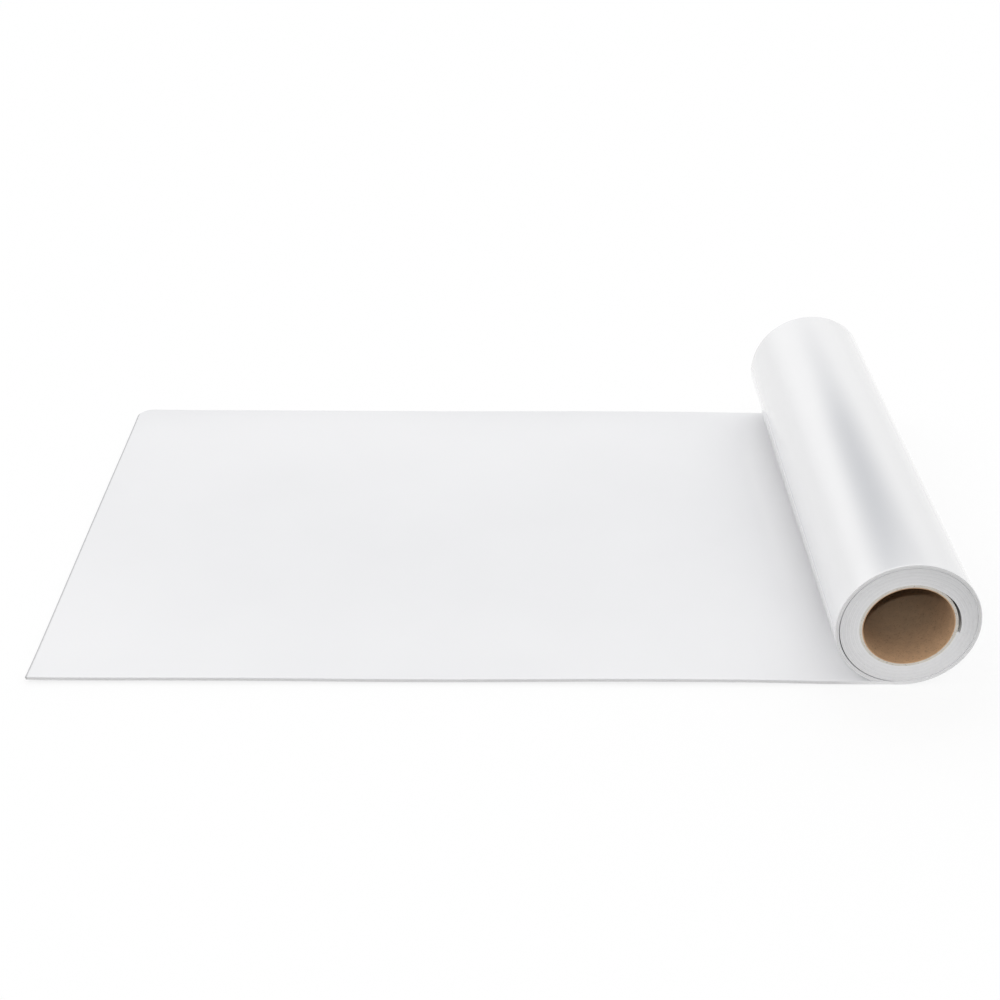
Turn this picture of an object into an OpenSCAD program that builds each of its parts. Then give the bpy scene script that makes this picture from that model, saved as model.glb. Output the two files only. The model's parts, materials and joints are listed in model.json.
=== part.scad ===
// Roll of sign vinyl, partly unrolled. The web is a laminate of vinyl film, adhesive
// and paper liner, wound face-in on a paper core, and its free end lies flat.
// The roll takes the laid web up again by rolling along it.
// +X runs from the free edge to the roll, +Y along the roll's axis and +Z up.
// The origin is under the middle of the outline, on the surface that the web lies on.

/* [Web] */
// Width of the web, which is the length of the roll
web_w = 500; // [200:1:1000]
// Thickness of the vinyl film, the face of the web
film_t = 1.6; // [0.6:0.1:2]
// Thickness of the adhesive coat behind the film
adhesive_t = 0.2; // [0.1:0.05:0.4]
// Thickness of the paper liner, the back of the web
liner_t = 1.4; // [0.5:0.1:2]

/* [Laid web] */
// From the free edge to the line that the roll stands on
laid_l = 748; // [400:1:1500]
// Radius of the free edge's one trimmed corner
corner_r = 17; // [4:1:60]

/* [Roll] */
// Diameter over the outermost turn
roll_d = 122; // [104:1:180]
// Clearance between the outermost turn and the turns that it lies on
turn_gap = 0.3; // [0.2:0.05:1]
// How far the outermost turn's slack side is struck below the roll's axis
slack = 0.35; // [0.1:0.05:1.5]
// Clearance between the outermost turn's tail and the web below it
tail_gap = 0.6; // [0.45:0.05:2]
// Web that stays under the roll as it moves, from the line that the roll stands on
tongue_l = 25; // [24:1:60]

/* [Core] */
// Bore of the core
bore_d = 76.2; // [50:0.1:77]
// Thickness of each of the core's paper plies
ply_t = 0.8; // [0.4:0.1:1]
// Direction of the web's inner end from the axis, from +X towards +Z
start_deg = -8; // [-180:1:180]
// Arc over which the next turn comes down from the inner end's step to the core
step_deg = 60; // [40:1:80]

/* [Start tape] */
// Thickness of the tape that holds the web's inner end on the core
tape_t = 0.25; // [0.1:0.05:0.4]
// Width of the tape round the core
tape_w = 48; // [20:1:70]
// Width of the tape that shows past the web's inner end
tape_show = 8; // [2:1:12]

/* [Hidden] */
$fn = 128;
PLIES = 4;
CUT = 1;                                           // how far a cutter runs past what it cuts
GAP_POINTS = 48;                                   // points that the tail's gap is measured on
BLUNT_DEG = 5;                                     // how far short of a knife edge the start hollow ends
web_t = film_t + adhesive_t + liner_t;
cut_l = web_w + 2 * CUT;
roll_r = roll_d / 2;
core_r = bore_d / 2 + PLIES * ply_t;
wound_r = roll_r - web_t - turn_gap;               // outside of the turns under the outermost one
axis_x = (laid_l - roll_r) / 2;                    // the outline is then centred on the origin
seam_x = axis_x - tongue_l;                        // where the laid web meets the moving tongue
free_x = axis_x - laid_l;
slack_r = roll_r + slack;                          // the slack side still meets the top of the roll
slack_z = roll_r - slack;
tail_deg = 270 - acos((slack_z - web_t - tail_gap) / slack_r);
tape_deg = tape_w / core_r * 180 / PI;
tape_end_deg = start_deg + tape_show / core_r * 180 / PI;
lean_deg = 90 - step_deg - BLUNT_DEG;              // from the inner end back to the shift's direction
step_shift = web_t / cos(lean_deg);                // the next turn's shift off the core, a web thick at the end

// The winding's outermost turn is one unbroken strip: the least gap from its slack side to
// the web that it lies over, measured on points along its outer face.
slack_points = [for (i = [0:GAP_POINTS])
    let (a = 180 + (tail_deg - 180) * i / GAP_POINTS)
    [slack_r * cos(a), slack_z + slack_r * sin(a)]];
echo(least_gap_of_the_strip_to_itself_mm = min([for (p = slack_points) p[1] - web_t]));

// Children that rise by a length, laid along Y and centred on it.
module along_y(l) {
    rotate([90, 0, 0]) translate([0, 0, -l / 2]) children();
}

// Children placed at the roll's axis.
module on_axis() {
    translate([axis_x, 0, roll_r]) children();
}

// Part of a tube round Y, between two angles from +X towards +Z.
module band(r_out, t, from_deg, to_deg, l = web_w) {
    along_y(l) rotate([0, 0, from_deg]) rotate_extrude(angle = to_deg - from_deg)
        translate([r_out - t, 0]) square([t, l]);
}

// A whole tube round Y.
module tube(r_in, r_out) {
    difference() {
        along_y(web_w) cylinder(h = web_w, r = r_out);
        along_y(cut_l) cylinder(h = cut_l, r = r_in);
    }
}

// One layer of the laid web, with its far corner trimmed round.
module laid_layer(low, t) {
    difference() {
        translate([free_x, -web_w / 2, low]) cube([laid_l - tongue_l, web_w, t]);
        translate([free_x, web_w / 2, low - CUT]) difference() {
            translate([-CUT, -corner_r, 0]) cube([corner_r + CUT, corner_r + CUT, t + 2 * CUT]);
            translate([corner_r, -corner_r, -CUT]) cylinder(h = t + 4 * CUT, r = corner_r);
        }
    }
}

// One layer of the outermost turn, which starts as a tongue under the roll, goes up its
// right side and over the top, and hangs slack on the left down to its tail.
module turn_layer(low, t) {
    translate([seam_x, -web_w / 2, low]) cube([tongue_l, web_w, t]);
    on_axis() band(roll_r - low, t, -90, 90);
    translate([axis_x, 0, slack_z]) band(slack_r - low, t, 90, tail_deg);
}

// The hollow beside the web's inner end, where the next turn comes down to the core.
module start_hollow() {
    along_y(cut_l) intersection() {
        rotate([0, 0, start_deg]) rotate_extrude(angle = step_deg)
            square([core_r + web_t + CUT, cut_l]);
        rotate([0, 0, start_deg - lean_deg]) translate([step_shift, 0, 0])
            cylinder(h = cut_l, r = core_r);
    }
}

// One ply of the core, counted from the bore.
module core_ply(i) {
    on_axis() tube(bore_d / 2 + i * ply_t, bore_d / 2 + (i + 1) * ply_t);
}

module laid_liner() { color("ghostwhite") laid_layer(0, liner_t); }
module laid_adhesive() { color("lightyellow") laid_layer(liner_t, adhesive_t); }
module laid_film() { color("white") laid_layer(liner_t + adhesive_t, film_t); }

module turn_liner() { color("ghostwhite") turn_layer(0, liner_t); }
module turn_adhesive() { color("lightyellow") turn_layer(liner_t, adhesive_t); }
module turn_film() { color("white") turn_layer(liner_t + adhesive_t, film_t); }

module wound_turns() {
    color("gainsboro") on_axis() difference() {
        tube(core_r, wound_r);
        start_hollow();
        tape_strip(tape_t + CUT, cut_l);
    }
}

// The tape's strip on the core, so deep from its outer face and so long.
module tape_strip(deep, l) {
    band(core_r + tape_t, deep, tape_end_deg - tape_deg, tape_end_deg, l);
}
module start_tape() { color("beige") on_axis() tape_strip(tape_t, web_w); }

module core_inner_ply() { color("peru") core_ply(0); }
module core_second_ply() { color("tan") core_ply(1); }
module core_third_ply() { color("tan") core_ply(2); }
module core_outer_ply() { color("tan") core_ply(3); }

laid_film();
laid_adhesive();
laid_liner();
turn_film();
turn_adhesive();
turn_liner();
wound_turns();
start_tape();
core_inner_ply();
core_second_ply();
core_third_ply();
core_outer_ply();
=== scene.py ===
"""A partly unrolled roll of sign vinyl, dressed round its packed solids.

Lengths are metres in the solids' own frame: +X runs from the web's free edge to the roll, +Y along
the roll's axis and +Z up from the table. Angles round the roll run from +X towards +Z.
"""

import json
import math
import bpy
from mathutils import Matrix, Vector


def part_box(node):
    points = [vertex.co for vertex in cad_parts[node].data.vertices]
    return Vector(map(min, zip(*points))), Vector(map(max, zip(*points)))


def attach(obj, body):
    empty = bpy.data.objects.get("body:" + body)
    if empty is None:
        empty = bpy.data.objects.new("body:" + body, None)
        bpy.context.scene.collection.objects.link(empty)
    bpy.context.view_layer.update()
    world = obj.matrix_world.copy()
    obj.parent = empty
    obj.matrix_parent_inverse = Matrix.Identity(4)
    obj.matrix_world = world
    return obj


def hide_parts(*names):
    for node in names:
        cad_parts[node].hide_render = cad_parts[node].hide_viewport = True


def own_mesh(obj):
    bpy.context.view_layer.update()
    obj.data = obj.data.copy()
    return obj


bl_info = {
    "name": "Roll of sign vinyl",
    "version": (1, 0, 0),
    "blender": (4, 5, 0),
    "location": "View3D > Sidebar > Vinyl roll",
    "description": "Dresses a partly unrolled roll of sign vinyl and lights it",
    "category": "Object",
}

import bpy
import numpy as np
from bpy.props import FloatProperty, FloatVectorProperty, PointerProperty
from bpy.types import Operator, Panel, PropertyGroup
from mathutils import Matrix, Vector

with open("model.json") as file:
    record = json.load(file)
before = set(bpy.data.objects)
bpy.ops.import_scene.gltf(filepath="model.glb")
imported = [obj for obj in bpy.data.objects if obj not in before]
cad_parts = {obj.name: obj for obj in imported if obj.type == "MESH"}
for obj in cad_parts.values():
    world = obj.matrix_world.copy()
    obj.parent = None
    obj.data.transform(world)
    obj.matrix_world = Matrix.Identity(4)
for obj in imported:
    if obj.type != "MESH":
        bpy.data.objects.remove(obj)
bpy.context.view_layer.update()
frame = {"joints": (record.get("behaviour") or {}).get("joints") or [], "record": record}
X, Y, Z = range(3)


def span(node, axis):
    """Lowest and highest place of a solid along one axis."""
    low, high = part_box(node)
    return low[axis], high[axis]


def round_radius(node):
    """Radius of a solid that is round about the roll's axis: half of its reach along X."""
    low, high = span(node, X)
    return (high - low) / 2


RECORD = frame["record"]
BORE = next(m for m in RECORD["mounts"] if m["kind"] == "bore")
WIND_UP = next(j for j in frame["joints"] if j["name"] == "wind_up")
SLOT_COLOURS = {m["slot"]: tuple(m["base_color"]) for m in RECORD["materials"]}

AXIS_X, AXIS_Z = BORE["pos_m"][X], BORE["pos_m"][Z]
BORE_R = BORE["dims"]["r_mm"] / 1000
NEAR_Y, FAR_Y = span("laid_liner", Y)
WEB_W = FAR_Y - NEAR_Y
FREE_X, SEAM_X = span("laid_liner", X)
LAID_L = SEAM_X - FREE_X
TONGUE_L = AXIS_X - SEAM_X
ROLL_R = AXIS_Z
LINER_T = span("laid_liner", Z)[1]
COATED_T = span("laid_adhesive", Z)[1]
WEB_T = span("laid_film", Z)[1]
CORE_R = round_radius("core_outer_ply")
WOUND_R = round_radius("wound_turns")
TAKEN_UP = WIND_UP["range_m"][1]

PLIES = ("core_inner_ply", "core_second_ply", "core_third_ply", "core_outer_ply")

# How many points a strip has along itself and across its width
LAID_POINTS, LAID_ACROSS = 96, 56
TONGUE_POINTS, TURN_POINTS, TURN_ACROSS = 8, 150, 30
POINTS_PER_TURN = 144
TAPE_POINTS, TAPE_ACROSS = 60, 8
PLY_POINTS, PLY_ACROSS = 540, 6
BEAD_POINTS = 4
# Distances of the outermost turn's last points from its tail, as shares of its edges' rounding
TAIL_SHARES = np.array([0.6, 0.2, 0.0])

# Gap that keeps two faces from touching, and the thinnest web that the wound strip may end with
HAIR_GAP = 0.00002
LEAST_WEB = 10 * HAIR_GAP
# Allowance for rounding where turns are counted
ROUNDING = 1e-9
# Faces that meet at more than this angle have a sharp edge between them
SHARP_ANGLE = math.radians(40)
# How many edge radii go into the adhesive's inset, into the tape's thickness and into a ply's tip
COAT_BEADS, TAPE_BEADS, TIP_BEADS = 4, 5, 6
# Turn from one ply's tip to the next ply's
PLY_TURN = math.radians(137)

# Rate and start of the laid web's waves, along it and across it
WAVE_ALONG, WAVE_ACROSS = (19, 1.1), (14, 0.4)
# Share of its thickness that a layer keeps in the tail's wedge
WEDGE_SHARE = 0.03
# Share of the roll's radius over which the outermost turn's ripple grows from the tongue
RIPPLE_EASE = 0.3
# Each ripple's rate along the roll, its rate round the roll and its start
RIPPLES = ((21, 2.2, 0.0), (9, -1.5, 0.7))
# Arc, in radians, over which the web comes down past the tape's end
TAPE_EASE = 0.05
# Each stray of the wound strip's edges: its share, its rate along the winding and its start
STRAYS = ((0.6, 0.93, 0.4), (0.4, 2.17, 1.9))
# The wound web's edge from its back to its face: how far in, as a share of the groove, and how deep
LAMINATE_EDGE = np.array([
    (0.55, 0.02), (0.15, 0.07), (0, 0.14), (0, 0.34), (0.25, 0.4), (0.6, 0.43),
    (0.6, 0.49), (0.25, 0.52), (0, 0.58), (0, 0.86), (0.15, 0.93), (0.55, 0.98)])

# Range that most of a noise's values lie in
NOISE_RANGE = (0.3, 0.7)
# Ranges of depth over which a mask grows, and dies away again: cut edges and the adhesive's line
CUT_DEPTHS = (0.0, 0.08), (1.0, 0.92)
LINE_DEPTHS = (0.4, 0.43), (0.52, 0.49)
# Range of depth over which the wound web's film gives way to its liner
PAPER_DEPTH = (0.5, 0.4)
# Painted shade: how light the wound web's cut edges are drawn, as a share of their colour, for the shade
# on the roll's end faces
PAINTED_END_SHADE = 0.92

# The floor's half width, and its height just under the web
FLOOR_REACH, FLOOR_Z = 8.0, -0.0002
# Height at which the sky has its own level, and the ranges over which it dims to the front and has
# its dim patch to the back. A direction's height, right and away are those of a unit vector.
SKY_RISE = 0.3
FRONT_RANGE, BACK_RANGE = (0.1, -0.6), (0.0, 0.4)
# The dim patch: its middle and half width to the right, its arch, and where it begins and ends in height
PATCH_MIDDLE, PATCH_REACH, PATCH_BEND = -0.03, 0.53, 0.65
PATCH_LOW, PATCH_HIGH = (0.43, 0.54), (0.614, 0.568)
# The core lamp's radius, and how far below the axis it is aimed, as a share of the bore's radius
LAMP_R, LAMP_DROP = 0.015, 0.5


class WebSettings(PropertyGroup):
    """The laid web and the outermost turn."""

    corner_r: FloatProperty(
        name="Corner radius", description="Radius of the free edge's one trimmed corner",
        default=0.017, unit="LENGTH")
    near_lift: FloatProperty(
        name="Near edge lift", description="How far the near long edge curls off the table",
        default=0.0016, unit="LENGTH")
    far_lift: FloatProperty(
        name="Far edge lift", description="How far the far long edge curls off the table",
        default=0.0011, unit="LENGTH")
    free_lift: FloatProperty(
        name="Free edge lift", description="How far the free end curls off the table",
        default=0.0012, unit="LENGTH")
    curl_reach: FloatProperty(
        name="Curl reach", description="Distance from an edge over which its curl dies away",
        default=0.024, unit="LENGTH")
    flat_reach: FloatProperty(
        name="Flat reach", description="Length before the roll over which the web comes down flat",
        default=0.11, unit="LENGTH")
    wave: FloatProperty(
        name="Wave", description="Height of the laid web's broad waves",
        default=0.0005, unit="LENGTH")
    bead: FloatProperty(
        name="Cut edge rounding", description="Radius of the film's and the liner's cut edges",
        default=0.0002, unit="LENGTH")
    coat_inset: FloatProperty(
        name="Coat inset", description="How far the adhesive stays behind the cut edges",
        default=0.0001, unit="LENGTH")
    film: FloatVectorProperty(
        name="Film", description="Colour of the vinyl film",
        default=SLOT_COLOURS["film"], subtype="COLOR", min=0, max=1)
    adhesive: FloatVectorProperty(
        name="Adhesive", description="Colour of the adhesive coat",
        default=SLOT_COLOURS["adhesive"], subtype="COLOR", min=0, max=1)
    liner: FloatVectorProperty(
        name="Liner", description="Colour of the paper liner",
        default=SLOT_COLOURS["liner"], subtype="COLOR", min=0, max=1)
    cut: FloatVectorProperty(
        name="Cut edge", description="Colour of the film's and the liner's cut edges",
        default=(0.85, 0.85, 0.86), subtype="COLOR", min=0, max=1)
    # Painted shade: a thin grey line drawn along the free edge, where the edge's shade line falls.
    painted_shade_line: FloatProperty(
        name="Painted shade line", description="Width of the grey rub along the free edge",
        default=0.0016, unit="LENGTH")


class RollSettings(PropertyGroup):
    """The wound turns, the slack of the outermost one and the tape at the web's start."""

    slack: FloatProperty(
        name="Slack", description="How far the outermost turn's left side is struck below the axis",
        default=0.00035, unit="LENGTH")
    tail_gap: FloatProperty(
        name="Tail gap", description="Clearance between the outermost turn's tail and the web below it",
        default=0.0002, unit="LENGTH")
    ripple: FloatProperty(
        name="Ripple", description="Unevenness of the outermost turn",
        default=0.00012, unit="LENGTH")
    start: FloatProperty(
        name="Inner end", description="Direction of the web's inner end from the axis",
        default=math.radians(-8), subtype="ANGLE")
    step: FloatProperty(
        name="Step arc", description="Arc over which the second turn comes down from the inner end",
        default=math.radians(65), subtype="ANGLE")
    spread: FloatProperty(
        name="Step spread", description="How much longer that arc is at each turn further out",
        default=math.radians(6), subtype="ANGLE")
    scatter: FloatProperty(
        name="Edge scatter", description="How far the turns' edges stand out of line",
        default=0.00008, unit="LENGTH")
    groove: FloatProperty(
        name="Turn groove", description="Depth of the grooves between the turns at the roll's ends",
        default=0.00006, unit="LENGTH")
    tape_t: FloatProperty(
        name="Tape thickness", description="Thickness of the start tape",
        default=0.00025, unit="LENGTH")
    tape_w: FloatProperty(
        name="Tape width", description="Width of the start tape round the core",
        default=0.048, unit="LENGTH")
    tape_show: FloatProperty(
        name="Tape shown", description="Width of the start tape past the web's inner end",
        default=0.008, unit="LENGTH")
    edge: FloatVectorProperty(
        name="Turn edges", description="Colour of the wound web's cut edges",
        default=SLOT_COLOURS["wound_web"], subtype="COLOR", min=0, max=1)
    tape: FloatVectorProperty(
        name="Tape", description="Colour of the start tape",
        default=SLOT_COLOURS["tape"], subtype="COLOR", min=0, max=1)


class CoreSettings(PropertyGroup):
    """The core's paper plies."""

    pitch: FloatProperty(
        name="Ply pitch", description="Length of core that one turn of a ply covers",
        default=0.22, unit="LENGTH")
    seam: FloatProperty(
        name="Ply seam", description="Gap between the edges of a ply's neighbouring turns",
        default=0.0001, unit="LENGTH")
    first_seam: FloatProperty(
        name="First seam", description="Direction from the axis in which the inner ply's tip lies",
        default=math.radians(178), subtype="ANGLE")
    bead: FloatProperty(
        name="Ply edge rounding", description="Radius of a ply's cut edges",
        default=0.00012, unit="LENGTH")
    kraft: FloatVectorProperty(
        name="Kraft", description="Colour of the inner ply",
        default=SLOT_COLOURS["kraft"], subtype="COLOR", min=0, max=1)
    # Painted light: the kraft is drawn lighter near the core's mouths, where light falls into the bore,
    # and darker deeper in.
    painted_light: FloatVectorProperty(
        name="Painted-light kraft", description="Colour of the kraft where the core's mouths have faded",
        default=(0.56, 0.355, 0.205), subtype="COLOR", min=0, max=1)
    painted_light_reach: FloatProperty(
        name="Painted light reach", description="How far into the core's mouths the kraft has faded",
        default=0.05, unit="LENGTH")
    board: FloatVectorProperty(
        name="Board", description="Colour of the plies round it",
        default=SLOT_COLOURS["core_board"], subtype="COLOR", min=0, max=1)


class StageSettings(PropertyGroup):
    """The floor, the light and the camera."""

    camera: FloatVectorProperty(
        name="Camera", description="Place of the camera",
        default=(-0.0051, -1.3149, 0.8113), subtype="TRANSLATION", unit="LENGTH")
    pitch: FloatProperty(
        name="Pitch", description="How far the camera looks down",
        default=math.radians(30.56), subtype="ANGLE")
    yaw: FloatProperty(
        name="Yaw", description="How far the camera is turned to the right",
        default=math.radians(0.29), subtype="ANGLE")
    roll: FloatProperty(
        name="Roll", description="How far the camera is tipped about its own line of sight",
        default=math.radians(0.35), subtype="ANGLE")
    focal: FloatProperty(
        name="Focal length", description="Focal length as a share of the picture's width",
        default=1.5516)
    around: FloatProperty(
        name="Light all round", description="Level of the light above the horizon, where it is 1",
        default=1.16)
    overhead: FloatProperty(
        name="Overhead light", description="How much brighter the light is straight above",
        default=0.4)
    left: FloatProperty(
        name="Light from the left", description="How much brighter the light is on the left",
        default=0.22)
    front_dim: FloatProperty(
        name="Dim front", description="Share of the soft light that is missing on the camera's side",
        default=0.66, subtype="FACTOR", min=0, max=1)
    patch: FloatVectorProperty(
        name="Dim patch", description="Share of the light left in the dim patch behind the roll",
        default=(0.0, 0.03, 0.08), subtype="COLOR", min=0, max=1)
    core_lamp: FloatVectorProperty(
        name="Core lamp", description="Place of the small lamp that is turned on the open core",
        default=(-0.012, -1.3, 0.885), subtype="TRANSLATION", unit="LENGTH")
    core_power: FloatProperty(
        name="Core lamp power", description="Power of the small lamp that is turned on the open core",
        default=27.0, subtype="POWER")
    core_cone: FloatProperty(
        name="Core lamp cone", description="Width of the cone of the lamp that is turned on the open core",
        default=math.radians(5.8), subtype="ANGLE")
    floor_shine: FloatProperty(
        name="Floor white", description="Share of the floor's look that is plain white",
        default=0.8, subtype="FACTOR", min=0, max=1)
    floor: FloatVectorProperty(
        name="Floor", description="Colour of the floor",
        default=(0.96, 0.96, 0.96), subtype="COLOR", min=0, max=1)


class Wire:
    """An output socket of a node tree. Sums and products of wires add Math nodes."""

    def __init__(self, tree, socket=None):
        self.tree = tree
        self.socket = socket

    def node(self, kind, settings=None, sockets=None, out=0):
        """Adds a node, sets its settings, then its sockets' values or links; gives one output."""
        made = self.tree.nodes.new(kind)
        for name, value in (settings or {}).items():
            setattr(made, name, value)
        for key, value in (sockets or {}).items():
            if isinstance(value, Wire):
                self.tree.links.new(value.socket, made.inputs[key])
            else:
                made.inputs[key].default_value = value
        return Wire(self.tree, made.outputs[out] if made.outputs else None)

    def beside(self, out):
        """Another output of the same node."""
        return Wire(self.tree, self.socket.node.outputs[out])

    def math(self, operation, first, second):
        """A Math node on two values or wires."""
        return self.node("ShaderNodeMath", {"operation": operation}, {0: first, 1: second})

    def __add__(self, other):
        return self.math("ADD", self, other)

    def __sub__(self, other):
        return self.math("SUBTRACT", self, other)

    def __rsub__(self, other):
        return self.math("SUBTRACT", other, self)

    def __mul__(self, other):
        return self.math("MULTIPLY", self, other)

    def __or__(self, other):
        """The larger of two values, as either of two masks."""
        return self.math("MAXIMUM", self, other)

    __radd__ = __add__
    __rmul__ = __mul__
    __ror__ = __or__


def noise(net, place, size, detail=2.0, stretch=None):
    """Cloudy values from 0 to 1 whose blotches are about so many metres across."""
    if stretch:
        place = net.node("ShaderNodeMapping", sockets={"Vector": place, "Scale": stretch})
    return net.node("ShaderNodeTexNoise", sockets={
        "Vector": place, "Scale": 1 / size, "Detail": detail}, out="Fac")


def stretch_to(net, value, low, high, to_low=0.0, to_high=1.0, way="LINEAR"):
    """A value's range from low to high, spread over another one and held inside it."""
    return net.node("ShaderNodeMapRange", {"interpolation_type": way}, {
        "Value": value, "From Min": low, "From Max": high,
        "To Min": to_low, "To Max": to_high}, out="Result")


def cloudy(net, value, low, high):
    """A noise, spread over another range."""
    return stretch_to(net, value, *NOISE_RANGE, low, high)


def between(net, value, first, last, way="LINEAR"):
    """A mask that grows over one range of a value and dies away over another."""
    return stretch_to(net, value, *first, way=way) * stretch_to(net, value, *last, way=way)


def shade(colour, level=1.0):
    """A colour with its alpha, as a colour socket takes it, so much lighter or darker."""
    if isinstance(colour, Wire):
        return colour
    return (*[min(c * level, 1.0) for c in colour[:3]], 1.0)


def scaled(net, colour, level):
    """A colour so much lighter or darker."""
    if not isinstance(colour, Wire):
        return shade(colour, level)
    return net.node("ShaderNodeVectorMath", {"operation": "SCALE"}, {0: colour, "Scale": level})


def blend(net, share, first, second):
    """A colour between two colours."""
    return net.node(
        "ShaderNodeMix", {"data_type": "RGBA"}, {0: share, 6: shade(first), 7: shade(second)}, out=2)


def bump(net, height, distance):
    """A normal from a height of so many metres."""
    return net.node("ShaderNodeBump", sockets={
        "Strength": 1.0, "Distance": distance, "Height": height}, out="Normal")


def object_place(net):
    """Place in the object's own coordinates."""
    return net.node("ShaderNodeTexCoord", out="Object")


def strip_place(net):
    """Place on a strip laid out flat: along it and across it."""
    return net.node("ShaderNodeUVMap", {"uv_map": "strip"}, out="UV")


def along_strip(net):
    """Distance along the web from its free end, laid out flat."""
    return net.node("ShaderNodeSeparateXYZ", sockets={0: strip_place(net)}, out="X")


def depth_share(net):
    """Depth in a strip as a share of its thickness, from 0 at its back to 1 at its face."""
    return net.node("ShaderNodeAttribute", {"attribute_name": "depth"}, out="Fac")


def emptied(owner):
    """The node tree of a material or a world, with nothing in it."""
    owner.use_nodes = True
    owner.node_tree.nodes.clear()
    return Wire(owner.node_tree)


def finish(name, paint, **fixed):
    """A material whose varying sockets come from a paint function, and the rest as plain values."""
    made = bpy.data.materials.new(name)
    net = emptied(made)
    shader = net.node(
        "ShaderNodeBsdfPrincipled", sockets={**paint(net), **fixed}, out="BSDF")
    net.node("ShaderNodeOutputMaterial", sockets={"Surface": shader})
    return made


def with_cut_edges(net, base, cut, painted_shade_cut):
    """A layer's colour with another one on its cut edges, which on the roll are drawn darker as painted
    shade for the roll's end faces. Its back and its face, whose depths are 0 and 1, keep their colour."""
    edge = between(net, depth_share(net), *CUT_DEPTHS)
    rolled = stretch_to(net, along_strip(net), LAID_L, LAID_L + 2 * TONGUE_L)
    return blend(net, edge, base, blend(net, rolled, cut, painted_shade_cut))


def film_finish(colour, cut, painted_shade_cut, painted_shade_line):
    """Glossy calendered film: an even white, faintly cloudy, with a fine orange peel in its gloss. Its cut
    edges are greyer, and on the roll darker still as painted shade for the roll's end faces; a thin grey
    line of painted shade runs along the strip's free end."""
    def paint(net):
        place = object_place(net)
        cloud = noise(net, place, size=0.09, detail=3)
        draw = noise(net, place, size=0.004, stretch=(0.02, 1, 1))
        peel = noise(net, place, size=0.0022)
        # Painted shade: a thin grey line along the strip's free end, drawn darker than the cut edges.
        shade_line_mask = stretch_to(net, along_strip(net) + draw * painted_shade_line * 0.5, painted_shade_line * 1.4, painted_shade_line * 0.8)
        base = blend(net, cloud, shade(colour, 0.985), shade(colour, 1.01))
        edged = with_cut_edges(net, base, cut, painted_shade_cut)
        return {
            "Base Color": blend(net, shade_line_mask * 0.9, edged, shade(cut, 0.58)),
            "Roughness": cloudy(net, cloud * 0.6 + draw * 0.4, 0.11, 0.15),
            "Normal": bump(net, peel * 0.7 + draw * 0.3, distance=0.000003),
        }
    return finish("film_gloss", paint, IOR=1.36)


def coat_finish(colour):
    """Dried adhesive: faintly yellow, cloudy and a little tacky in its shine."""
    def paint(net):
        cloud = noise(net, object_place(net), size=0.006, detail=3)
        return {
            "Base Color": blend(net, cloud, shade(colour, 0.94), shade(colour, 1.04)),
            "Roughness": cloudy(net, cloud, 0.42, 0.55),
        }
    return finish("adhesive_coat", paint)


def liner_finish(colour, cut, painted_shade_cut):
    """Coated release paper: satin and faintly cloudy, with fine fibres. Its cut edges have a colour of
    their own, drawn darker on the roll as painted shade for the roll's end faces."""
    def paint(net):
        place = object_place(net)
        fibre = noise(net, place, size=0.0011, detail=3)
        cloud = noise(net, place, size=0.05)
        base = blend(net, fibre * 0.4 + cloud * 0.6, shade(colour, 0.95), shade(colour, 0.99))
        return {
            "Base Color": with_cut_edges(net, base, cut, painted_shade_cut),
            "Roughness": cloudy(net, fibre * 0.5 + cloud * 0.5, 0.1, 0.12),
            "Normal": bump(net, fibre, distance=0.000003),
        }
    return finish("liner_satin", paint, **{
        "IOR": 1.8, "Coat Weight": 1.0, "Coat IOR": 1.65, "Coat Roughness": 0.1})


def edge_finish(edge, adhesive):
    """The wound web's cut edges: film and liner a shade apart, with the adhesive's line between."""
    def paint(net):
        place = object_place(net)
        depth = depth_share(net)
        dust = noise(net, place, size=0.003, detail=3)
        paper = stretch_to(net, depth, *PAPER_DEPTH)
        line = between(net, depth, *LINE_DEPTHS)
        layered = blend(net, paper, shade(edge, 1.01), shade(edge, 0.985))
        lined = blend(net, line * 0.3, layered, shade(adhesive, 0.9))
        dusted = stretch_to(net, dust, 0.45, 0.8, 0, 0.25)
        return {
            "Base Color": blend(net, dusted, lined, shade(edge, 0.85)),
            "Roughness": cloudy(net, dust, 0.42, 0.6),
            "Normal": bump(net, noise(net, place, size=0.0006), distance=0.00003),
        }
    return finish("wound_edges", paint)


def paper_finish(name, colour, fibre_dark, painted_light=None, reach=0.0):
    """Wound kraft or board: mottled, with longer fibres along the ply and darker flecks. It may be drawn
    lighter towards the ends of the roll, as painted light where light falls into the core's mouths, which
    leaves the kraft deeper in darker."""
    def paint(net):
        place = object_place(net)
        mottle = noise(net, place, size=0.006, detail=4)
        fibre = noise(net, strip_place(net), size=0.0012, detail=3, stretch=(0.18, 1, 1))
        fleck = noise(net, place, size=0.0016)
        tone = colour
        if painted_light:
            # Painted light: lighter towards the core's mouths, darker deeper in the bore.
            y = net.node("ShaderNodeSeparateXYZ", sockets={0: place}, out="Y")
            tone = blend(net, stretch_to(net, y | 0 - y, FAR_Y - reach, FAR_Y), colour, painted_light)
        worn = mottle * 0.55 + fibre * 0.45
        base = blend(net, worn, scaled(net, tone, fibre_dark), scaled(net, tone, 1.2))
        flecked = blend(net, stretch_to(net, fleck, 0.58, 0.7, 0, 0.6), base, shade(colour, 0.5))
        return {
            "Base Color": flecked,
            "Roughness": cloudy(net, mottle, 0.78, 0.92),
            "Normal": bump(net, fibre * 0.7 + mottle * 0.3, distance=0.00008),
        }
    return finish(name, paint)


def smooth(t):
    """Eases from 0 to 1 as three t squared less two t cubed, and is held beyond."""
    t = np.clip(t, 0, 1)
    return t * t * (3 - 2 * t)


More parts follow.
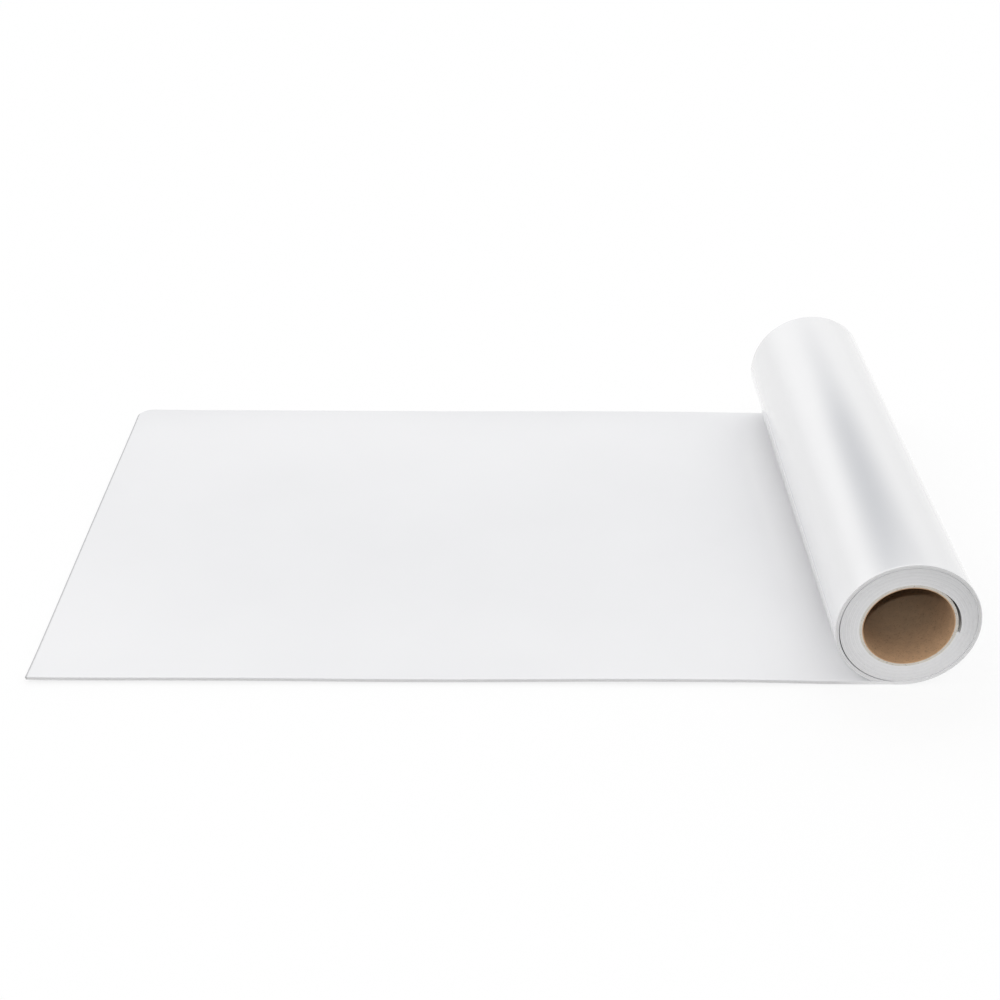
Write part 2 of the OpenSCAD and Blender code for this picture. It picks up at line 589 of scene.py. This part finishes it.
def bead_edge(thick, bead):
    """A layer's cut edge from its back to its face: how far in and how deep each point lies.

    Two quarter circles of the bead's radius, with the rest of the thickness straight between them.
    """
    turn = np.linspace(0, math.pi / 2, BEAD_POINTS)[1:]
    inset = bead * (1 - np.sin(turn))
    rise = bead * (1 - np.cos(turn))
    return np.r_[inset, inset[::-1]], np.r_[rise, thick - rise[::-1]]


def strip_skin(place, along, low, high, across, back, thick, bead, edge=None, ends=(True, True)):
    """A strip's skin: one closed loop of points at each station along its path.

    The loop runs over the back from the low edge to the high one, round that edge, back over the face
    and round the low edge. Where an end is rounded, the loop's depth shrinks to its middle along a
    quarter circle. place turns (along, y, depth) into points. The result has the points, their
    places on the flat strip, and their depth as a share of the thickness.
    """
    inset, depth = edge or bead_edge(thick, bead)
    edge_1, edge_0 = np.ones(len(inset)), np.zeros(len(inset))
    share = np.r_[across, edge_1, across[::-1], edge_0]
    shift = np.r_[bead * (1 - 2 * across), -inset, bead * (1 - 2 * across[::-1]), inset[::-1]]
    deep = np.r_[0 * across, depth, 0 * across + thick, depth[::-1]]
    from_first = along - along[0] if ends[0] else np.full(len(along), bead)
    from_last = along[-1] - along if ends[1] else np.full(len(along), bead)
    short = bead - np.clip(np.minimum(from_first, from_last), 0, bead)
    squeeze = 1 - 2 * (bead - np.sqrt(bead**2 - short**2)) / thick
    y = low[:, None] + (high - low)[:, None] * share + shift
    s = np.repeat(along[:, None], len(share), axis=1)
    d = thick / 2 + (deep - thick / 2) * squeeze[:, None]
    return place(s, y, back + d), np.stack([s, y], axis=-1), d / thick


def strip_faces(stations, loop, flats):
    """Faces of a strip's skin: quads between neighbouring loops, and at both ends a ladder of quads
    between back and face with one face more at each cut edge."""
    index = np.arange(stations * loop).reshape(stations, loop)
    after = np.roll(index, -1, axis=1)
    quads = np.stack([index[:-1], after[:-1], after[1:], index[1:]], axis=-1).reshape(-1, 4).tolist()
    half = loop // 2
    for ring, way in ((index[0], -1), (index[-1], 1)):
        back, face = ring[:flats], ring[half:half + flats][::-1]
        ladder = np.stack([back[:-1], back[1:], face[1:], face[:-1]], axis=-1)
        high_edge = ring[flats - 1:half + 1]
        low_edge = np.r_[ring[half + flats - 1:], ring[0]]
        quads += [list(f)[::way] for f in [*ladder.tolist(), high_edge.tolist(), low_edge.tolist()]]
    return quads


def volume(points, faces):
    """Signed volume inside a closed skin, positive where its faces point outwards: a sixth of the
    sum of each fan triangle's triple product."""
    total = 0.0
    for count in {len(f) for f in faces}:
        corners = points[np.array([f for f in faces if len(f) == count])]
        for i in range(1, count - 1):
            normal = np.cross(corners[:, i], corners[:, i + 1])
            total += np.einsum("ij,ij->", corners[:, 0], normal) / 6
    return total


def strip_piece(name, skin, flats, finish_of, body, slot, node):
    """The object of a strip's skin, facing outwards, on a body and in place of a solid."""
    points, flat, depth = skin
    stations, loop = depth.shape
    faces = strip_faces(stations, loop, flats)
    points = points.reshape(-1, 3)
    if volume(points - points.mean(axis=0), faces) < 0:
        faces = [f[::-1] for f in faces]
    mesh = bpy.data.meshes.new(name)
    mesh.from_pydata(points.tolist(), [], faces)
    corner = np.empty(len(mesh.loops), dtype=np.int32)
    mesh.loops.foreach_get("vertex_index", corner)
    layer = mesh.uv_layers.new(name="strip")
    layer.data.foreach_set("uv", flat.reshape(-1, 2)[corner].ravel().astype(np.float32))
    shares = mesh.attributes.new("depth", "FLOAT", "POINT")
    shares.data.foreach_set("value", depth.ravel().astype(np.float32))
    mesh.shade_smooth()
    mesh.set_sharp_from_angle(angle=SHARP_ANGLE)
    mesh.materials.append(finish_of)
    piece = bpy.data.objects.new(name, mesh)
    bpy.context.scene.collection.objects.link(piece)
    if mesh.validate():
        raise RuntimeError(f"{name} came out with faces that had to be mended")
    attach(piece, body)
    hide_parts(node)
    return piece


def edge_with_painted_shade(roll):
    """Colour of the wound web's cut edges, drawn a shade darker as painted shade for the roll's end faces.
    """
    return shade(roll.edge, PAINTED_END_SHADE)


def web_layers(web):
    """The web's layers from its back to its face: name, slot, depth, thickness, edge bead and inset."""
    coat_bead = web.coat_inset / COAT_BEADS
    return (
        ("liner_back", "liner", 0.0, LINER_T, web.bead, 0.0),
        ("adhesive_coat", "adhesive", LINER_T, COATED_T - LINER_T, coat_bead, web.coat_inset),
        ("film_face", "film", COATED_T, WEB_T - COATED_T, web.bead, 0.0),
    )


def web_finishes(web, roll):
    """The finish of each of the web's slots, made once."""
    edges = tuple(web.cut), edge_with_painted_shade(roll)
    makers = {
        "liner": ("liner_satin", lambda: liner_finish(tuple(web.liner), *edges)),
        "adhesive": ("adhesive_coat", lambda: coat_finish(tuple(web.adhesive))),
        "film": ("film_gloss", lambda: film_finish(tuple(web.film), *edges, web.painted_shade_line)),
    }
    return {slot: bpy.data.materials.get(name) or make() for slot, (name, make) in makers.items()}


def closer_at_edges(count):
    """Shares from 0 to 1 that lie closer at both ends: half of one less the cosine of half a turn's."""
    return 0.5 - 0.5 * np.cos(math.pi * np.linspace(0, 1, count))


def round_axis(r, angle, y):
    """Points at a radius and an angle from the roll's axis."""
    return np.stack([AXIS_X + r * np.cos(angle), y, AXIS_Z + r * np.sin(angle)], axis=-1)


def swing(place, rate, start, depth):
    """A share that swings below 1 along an edge: one less a depth, plus that depth times a sine."""
    return 1 - depth + depth * np.sin(place * rate + start)


def laid_place(web):
    """Points of the laid web: flat on the table, raised by its curls and waves.

    A curl falls off as e to the power of minus the distance from its edge over the curl's reach. The
    waves are half of one plus a sine along the web times a cosine across it. All of it eases to
    nothing at the roll, where the web is held down.
    """
    def place(s, y, depth):
        near = np.exp((NEAR_Y - y) / web.curl_reach) * swing(s, rate=13, start=0.6, depth=0.2)
        far = np.exp((y - FAR_Y) / web.curl_reach) * swing(s, rate=11, start=2.1, depth=0.25)
        free = np.exp(-s / web.curl_reach) * swing(y, rate=12, start=0.4, depth=0.2)
        along = s * WAVE_ALONG[0] + WAVE_ALONG[1]
        across = y * WAVE_ACROSS[0] + WAVE_ACROSS[1]
        wave = 0.5 + 0.5 * np.sin(along) * np.cos(across)
        lift = web.near_lift * near + web.far_lift * far + web.free_lift * free + web.wave * wave
        held = smooth((LAID_L - s) / web.flat_reach)
        return np.stack([FREE_X + s, y, depth + lift * held], axis=-1)
    return place


def turn_place(roll):
    """Points of the outermost turn: a flat tongue, half a circle up the right side to the top, and
    down the left side a slack arc, struck from a lower centre with a longer radius.

    Where that arc would dip into the web below, it is held just above it, so that the tail thins out
    to a wedge. There a layer keeps a small share of its thickness. The ripple is a product of sines.
    """
    slack_r = ROLL_R + roll.slack
    half_turn = math.pi * ROLL_R

    def place(s, y, depth):
        right = (s - TONGUE_L) / ROLL_R - math.pi / 2
        left = (s - TONGUE_L - half_turn) / slack_r + math.pi / 2
        slack = left > math.pi / 2
        angle = np.where(slack, left, right)
        ripple = roll.ripple * smooth((s - TONGUE_L) / (RIPPLE_EASE * ROLL_R))
        for along, around, start in RIPPLES:
            ripple = ripple * np.sin(y * along + around * angle + start)
        r = np.where(slack, slack_r, ROLL_R) - depth + ripple
        middle = np.where(slack, ROLL_R - roll.slack, ROLL_R)
        flat = s < TONGUE_L
        x = np.where(flat, SEAM_X + s, AXIS_X + r * np.cos(angle))
        lowest = np.where(slack, WEB_T + roll.tail_gap + WEDGE_SHARE * depth, 0)
        z = np.where(flat, depth, np.maximum(middle + r * np.sin(angle), lowest))
        return np.stack([x, y, z], axis=-1)
    return place


def turn_length(roll):
    """Length of the outermost turn's back from the seam to its tail, which ends where its face comes
    down to its gap above the web below."""
    slack_r = ROLL_R + roll.slack
    hang = math.acos((ROLL_R - roll.slack - WEB_T - roll.tail_gap) / (slack_r - WEB_T))
    return TONGUE_L + math.pi * ROLL_R + slack_r * (math.pi - hang)


def spiral(roll, turns):
    """Radius of the wound web's inner face by the angle wound, in equal steps from turn to turn.

    In the last stretch of each turn the web climbs over the step of the turn below: by the cosine of
    the angle left, less its sine times a slope that makes the climb start at the stretch's far end.
    """
    pitch = (WOUND_R - CORE_R) / turns
    taped = (roll.tape_w - roll.tape_show) / CORE_R

    def inner(wound):
        turn = np.floor(wound / (2 * math.pi) + ROUNDING)
        left = 2 * math.pi * (turn + 1) - wound
        reach = roll.step + roll.spread * turn
        climb = np.cos(left) - np.sin(left) / np.tan(reach)
        climb = np.where(left < reach, climb, 0)
        over_tape = roll.tape_t * (1 - smooth((wound - taped) / TAPE_EASE))
        return CORE_R + pitch * (turn + climb) + over_tape
    return inner


def ply_place(outer_r, tip):
    """Points of a core's ply, which winds on from the angle of its tip."""
    def place(s, y, depth):
        return round_axis(outer_r - depth, tip - s, y)
    return place


class VINYL_OT_laid_web(Operator):
    """Lays out the web's three layers from its free edge to the roll"""

    bl_idname = "vinyl.laid_web"
    bl_label = "Laid web"

    def execute(self, context):
        web, roll = context.scene.vinyl_web, context.scene.vinyl_roll
        finishes = web_finishes(web, roll)
        t = np.linspace(0, 1, LAID_POINTS)
        across = closer_at_edges(LAID_ACROSS)
        along = LAID_L * (1 - np.cos(math.pi / 2 * t))
        short = np.clip(web.corner_r - along, 0, None)
        trim = web.corner_r - np.sqrt(web.corner_r**2 - short**2)
        for name, slot, back, thick, bead, inset in web_layers(web):
            low = np.full(len(along), NEAR_Y + inset)
            high = FAR_Y - inset - trim
            skin = strip_skin(
                laid_place(web), along, low, high, across, back, thick, bead, ends=(True, False))
            piece = strip_piece(
                "laid_" + name, skin, len(across), finishes[slot], "laid", slot, "laid_" + slot)
            1 - (TAKEN_UP + HAIR_GAP) / LAID_L
            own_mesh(piece)
            if slot != "adhesive":
                under = "laid_adhesive_coat" if slot == "film" else "table"
        return {"FINISHED"}


class VINYL_OT_outermost_turn(Operator):
    """Winds the web's last turn round the roll, with its slack side and its tail"""

    bl_idname = "vinyl.outermost_turn"
    bl_label = "Outermost turn"

    def execute(self, context):
        web, roll = context.scene.vinyl_web, context.scene.vinyl_roll
        finishes = web_finishes(web, roll)
        length = turn_length(roll)
        along = np.r_[
            np.linspace(0, TONGUE_L, TONGUE_POINTS)[:-1],
            np.linspace(TONGUE_L, length, TURN_POINTS)[:-1],
            length - web.bead * TAIL_SHARES]
        across = closer_at_edges(TURN_ACROSS)
        for name, slot, back, thick, bead, inset in web_layers(web):
            low = np.full(len(along), NEAR_Y + inset)
            points, flat, depth = strip_skin(
                turn_place(roll), along, low, -low, across, back, thick, bead, ends=(False, True))
            skin = points, flat + np.array([LAID_L, 0]), depth
            strip_piece(
                "turn_" + name, skin, len(across), finishes[slot], "outer_turn", slot, "turn_" + slot)
        return {"FINISHED"}


class VINYL_OT_wound_turns(Operator):
    """Winds the turns under the outermost one as a single strip from the core outwards"""

    bl_idname = "vinyl.wound_turns"
    bl_label = "Wound turns"

    def execute(self, context):
        web, roll = context.scene.vinyl_web, context.scene.vinyl_roll
        turns = round((WOUND_R - CORE_R) / WEB_T)
        inner = spiral(roll, turns)
        wound = np.linspace(0, 2 * math.pi * turns, turns * POINTS_PER_TURN + 1)
        wound = wound[inner(wound) < WOUND_R - LEAST_WEB]
        inside = inner(wound)[:, None]
        outside = np.minimum(inner(wound + 2 * math.pi) - HAIR_GAP, WOUND_R + roll.ripple)[:, None]

        def place(s, y, share):
            return round_axis(outside - share * (outside - inside), roll.start - s, y)

        stray = roll.scatter * sum(
            share * np.sin(rate * wound + start) for share, rate, start in STRAYS)
        across = np.array([0.0, 1.0])
        edge = (LAMINATE_EDGE[:, 0] * roll.groove, LAMINATE_EDGE[:, 1])
        skin = strip_skin(
            place, wound, NEAR_Y + roll.scatter + stray, FAR_Y - roll.scatter + stray,
            across, 0.0, 1.0, roll.groove, edge, ends=(False, False))
        # The edges' colour is drawn darker as painted shade for the roll's end faces.
        finish_of = edge_finish(edge_with_painted_shade(roll), tuple(web.adhesive))
        strip_piece(
            "wound_strip", skin, len(across), finish_of, "roll", "wound_web", "wound_turns")
        return {"FINISHED"}


class VINYL_OT_start_tape(Operator):
    """Sticks the web's inner end to the core with a strip of paper tape"""

    bl_idname = "vinyl.start_tape"
    bl_label = "Start tape"

    def execute(self, context):
        roll = context.scene.vinyl_roll
        first = roll.start + roll.tape_show / CORE_R

        def place(s, y, depth):
            return round_axis(CORE_R + roll.tape_t - depth, first - s / CORE_R, y)

        along = np.linspace(0, roll.tape_w, TAPE_POINTS)
        across = np.linspace(0, 1, TAPE_ACROSS)
        low = np.full(len(along), NEAR_Y)
        skin = strip_skin(
            place, along, low, -low, across, 0.0, roll.tape_t, roll.tape_t / TAPE_BEADS)
        finish_of = paper_finish("tape_paper", tuple(roll.tape), fibre_dark=0.9)
        strip_piece("tape_strip", skin, len(across), finish_of, "roll", "tape", "start_tape")
        return {"FINISHED"}


class VINYL_OT_core(Operator):
    """Winds the core's four plies, each a paper strip that runs round in a screw line"""

    bl_idname = "vinyl.core"
    bl_label = "Core"

    def execute(self, context):
        core = context.scene.vinyl_core
        kraft = paper_finish(
            "kraft_paper", tuple(core.kraft), 0.62, painted_light=tuple(core.painted_light), reach=core.painted_light_reach)
        board = paper_finish("core_board", tuple(core.board), fibre_dark=0.8)
        ply_t = (CORE_R - BORE_R) / len(PLIES)
        least = TIP_BEADS * core.bead
        per_turn = core.pitch / (2 * math.pi)
        wound = np.linspace(
            (least + core.seam) / per_turn, (WEB_W + core.pitch - least) / per_turn, PLY_POINTS)
        low = np.clip(NEAR_Y - core.pitch + wound * per_turn, NEAR_Y, FAR_Y)
        high = np.clip(NEAR_Y - core.seam + wound * per_turn, NEAR_Y, FAR_Y)
        across = np.linspace(0, 1, PLY_ACROSS)
        for i, node in enumerate(PLIES):
            place = ply_place(BORE_R + (i + 1) * ply_t, core.first_seam + i * PLY_TURN)
            skin = strip_skin(
                place, wound, low, high, across, 0.0, ply_t, core.bead, ends=(False, False))
            slot, finish_of = ("kraft", kraft) if i == 0 else ("core_board", board)
            strip_piece(node + "_strip", skin, len(across), finish_of, "roll", slot, node)
        return {"FINISHED"}


class VINYL_OT_stage(Operator):
    """Makes the floor, the light and the camera"""

    bl_idname = "vinyl.stage"
    bl_label = "Stage"

    def execute(self, context):
        stage = context.scene.vinyl_stage
        context.scene.view_settings.view_transform = "Standard"
        make_floor(stage)
        make_sky(context.scene, stage)
        make_core_lamp(context.scene, stage)
        make_camera(context.scene, stage)
        return {"FINISHED"}


def stage_object(name, points, faces, material):
    """An object of the stage from its points and faces."""
    mesh = bpy.data.meshes.new(name)
    mesh.from_pydata(np.asarray(points).tolist(), [], np.asarray(faces).tolist())
    mesh.materials.append(material)
    made = bpy.data.objects.new(name, mesh)
    bpy.context.scene.collection.objects.link(made)
    return made


def make_floor(stage):
    """A wide floor that looks white, and still takes a share of the object's shadow."""
    material = bpy.data.materials.new("floor")
    net = emptied(material)
    lit = net.node("ShaderNodeBsdfDiffuse", sockets={"Color": shade(stage.floor)})
    white = net.node("ShaderNodeEmission")
    ray = net.node("ShaderNodeLightPath", out="Is Camera Ray")
    seen = ray | ray.beside("Is Glossy Ray") | ray.beside("Is Transmission Ray")
    mixed = net.node("ShaderNodeMixShader", sockets={0: seen * stage.floor_shine, 1: lit, 2: white})
    net.node("ShaderNodeOutputMaterial", sockets={"Surface": mixed})
    corners = [
        (x * FLOOR_REACH, y * FLOOR_REACH, FLOOR_Z) for x, y in ((-1, -1), (1, -1), (1, 1), (-1, 1))]
    stage_object("table", corners, [(0, 1, 2, 3)], material)


def make_sky(scene, stage):
    """Soft light from all round, white where it is seen directly.

    It is as light as the floor at the horizon and eases to its own level above that, which grows with
    the square of the height and towards the left. It dims on the camera's side. Behind the roll it has
    a dim patch, which shows in the roll's gloss as a soft streak. Sideways the patch is the square of
    one less the square of the share of its reach. Upwards it eases in and out, along an arch that
    drops by the square of the distance from its middle, as the roll's mirror image of a level line does.
    """
    world = bpy.data.worlds.new("studio")
    scene.world = world
    net = emptied(world)
    way = net.node("ShaderNodeTexCoord", out="Generated")
    right = net.node("ShaderNodeSeparateXYZ", sockets={0: way}, out="X")
    away, height = right.beside("Y"), right.beside("Z")
    front = stretch_to(net, away, *FRONT_RANGE, 0.0, stage.front_dim)
    rise = stretch_to(net, height, 0.0, SKY_RISE, way="SMOOTHSTEP")
    level = stage.around - 1 + height * height * stage.overhead - right * stage.left
    soft = (1 + level * rise) * (1 - front)
    aside = right - PATCH_MIDDLE
    squared = aside * aside
    inside = stretch_to(net, squared, PATCH_REACH**2, 0.0)
    arch = between(net, height + squared * PATCH_BEND, PATCH_LOW, PATCH_HIGH, way="SMOOTHSTEP")
    dim = inside * inside * arch * stretch_to(net, away, *BACK_RANGE)
    seen = net.node("ShaderNodeLightPath", out="Is Camera Ray")
    sky = net.node("ShaderNodeBackground", sockets={
        "Color": blend(net, dim * (1 - seen), (1, 1, 1), stage.patch),
        "Strength": seen + (1 - seen) * soft})
    net.node("ShaderNodeOutputWorld", sockets={"Surface": sky})


def make_core_lamp(scene, stage):
    """A small lamp just above the camera, aimed at the lower half of the open core: it lights the bore
    as deep as the rim lets it."""
    light = bpy.data.lights.new("core_lamp", "SPOT")
    light.shadow_soft_size = LAMP_R
    light.energy = stage.core_power
    light.spot_size = stage.core_cone
    light.spot_blend = 1.0
    lamp = bpy.data.objects.new("core_lamp", light)
    lamp.location = stage.core_lamp
    aim = Vector((AXIS_X, NEAR_Y, AXIS_Z - LAMP_DROP * BORE_R)) - lamp.location
    lamp.rotation_euler = aim.to_track_quat("-Z", "Y").to_euler()
    scene.collection.objects.link(lamp)


def make_camera(scene, stage):
    """The photograph's camera: its line of sight from pitch and yaw, then tipped about it."""
    sight = Vector((
        math.sin(stage.yaw) * math.cos(stage.pitch),
        math.cos(stage.yaw) * math.cos(stage.pitch),
        -math.sin(stage.pitch)))
    level = Vector((math.cos(stage.yaw), -math.sin(stage.yaw), 0))
    upright = level.cross(sight)
    right = level * math.cos(stage.roll) + upright * math.sin(stage.roll)
    up = upright * math.cos(stage.roll) - level * math.sin(stage.roll)
    lens = bpy.data.cameras.new("camera")
    lens.sensor_width = 36.0
    lens.lens = stage.focal * lens.sensor_width
    lens.clip_start, lens.clip_end = 0.05, 60.0
    camera = bpy.data.objects.new("camera", lens)
    turn = Matrix((right, up, -sight)).transposed()
    camera.matrix_world = Matrix.Translation(stage.camera) @ turn.to_4x4()
    scene.collection.objects.link(camera)
    scene.camera = camera


class VINYL_PT_roll(Panel):
    """Lists the roll's pieces and their settings"""

    bl_idname = "VINYL_PT_roll"
    bl_label = "Vinyl roll"
    bl_space_type = "VIEW_3D"
    bl_region_type = "UI"
    bl_category = "Vinyl roll"

    def draw(self, context):
        for operator in OPERATORS:
            self.layout.operator(operator.bl_idname)
        for name, settings in SETTINGS.items():
            box = self.layout.box()
            box.label(text=settings.__doc__)
            group = getattr(context.scene, name)
            for prop in settings.__annotations__:
                box.prop(group, prop)


SETTINGS = {
    "vinyl_web": WebSettings,
    "vinyl_roll": RollSettings,
    "vinyl_core": CoreSettings,
    "vinyl_stage": StageSettings,
}
OPERATORS = (
    VINYL_OT_stage,
    VINYL_OT_laid_web,
    VINYL_OT_outermost_turn,
    VINYL_OT_wound_turns,
    VINYL_OT_start_tape,
    VINYL_OT_core,
)
CLASSES = (*SETTINGS.values(), *OPERATORS, VINYL_PT_roll)


def register():
    for made in CLASSES:
        bpy.utils.register_class(made)
    for name, settings in SETTINGS.items():
        setattr(bpy.types.Scene, name, PointerProperty(type=settings))


def unregister():
    for name in SETTINGS:
        delattr(bpy.types.Scene, name)
    for made in reversed(CLASSES):
        bpy.utils.unregister_class(made)


def main():
    """Registers the classes, and makes the stage and the pieces."""
    register()
    bpy.ops.vinyl.stage()
    bpy.ops.vinyl.laid_web()
    bpy.ops.vinyl.outermost_turn()
    bpy.ops.vinyl.wound_turns()
    bpy.ops.vinyl.start_tape()
    bpy.ops.vinyl.core()


if __name__ == "__main__":
    main()
